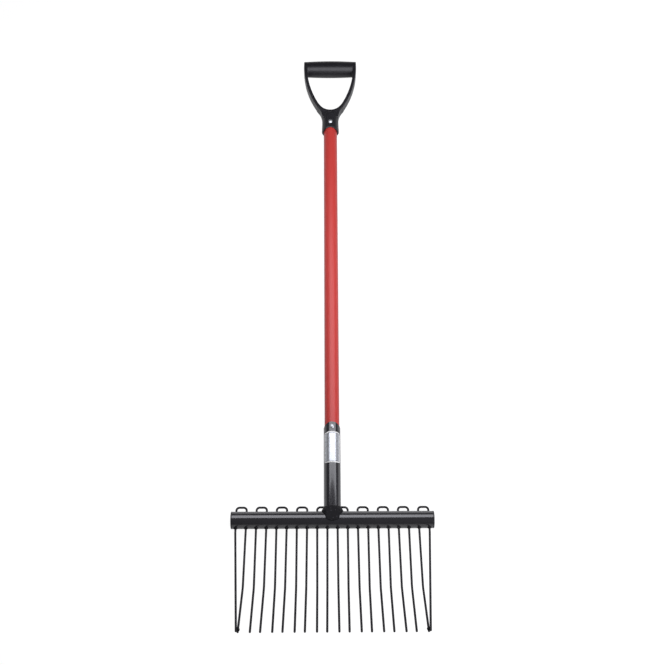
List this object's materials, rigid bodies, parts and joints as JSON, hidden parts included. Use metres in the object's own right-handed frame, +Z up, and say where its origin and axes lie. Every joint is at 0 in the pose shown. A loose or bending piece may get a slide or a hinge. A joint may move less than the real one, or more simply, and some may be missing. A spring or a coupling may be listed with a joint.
{
  "type": "manure fork",
  "caption": "Long-handled bedding fork with a moulded D-handle, red hollow shaft, steel socket and a head tube of bent wire tines",
  "frame": {"origin": "centre of the bounding box in X and Y, on the floor under the fork as it lies on its back", "axes": "X along the head tube to the right, Y along the shaft towards the D-handle, Z up to the hollow side of the tines"},
  "size_m": [0.377, 1.2358, 0.1362],
  "materials": {
    "black_plastic": "moulded polypropylene with a fine satin grain",
    "red_coating": "smooth red polymer coating on a hollow shaft",
    "black_paint": "black gloss paint on steel tube and wire",
    "rivet_steel": "bright plated steel",
    "core_wood": "plain turned hardwood, hidden inside the shaft"
  },
  "bodies": {
    "root": {"d_handle": "black_plastic", "handle_rivet": "rivet_steel", "shaft": "red_coating", "upper_core_plug": "core_wood", "lower_core_plug": "core_wood", "socket": "black_paint", "socket_rivet": "rivet_steel", "socket_weld": "black_paint", "head_tube": "black_paint", "end_cap_left": "black_plastic", "end_cap_right": "black_plastic", "tine_pair_01": "black_paint", "tine_pair_02": "black_paint", "tine_pair_03": "black_paint", "tine_pair_04": "black_paint", "tine_pair_05": "black_paint", "tine_pair_06": "black_paint", "tine_pair_07": "black_paint", "tine_pair_08": "black_paint", "tine_pair_09": "black_paint", "tine_pair_10": "black_paint", "tine_welds": "black_paint", "tip_welds": "black_paint"}
  },
  "joints": []
}
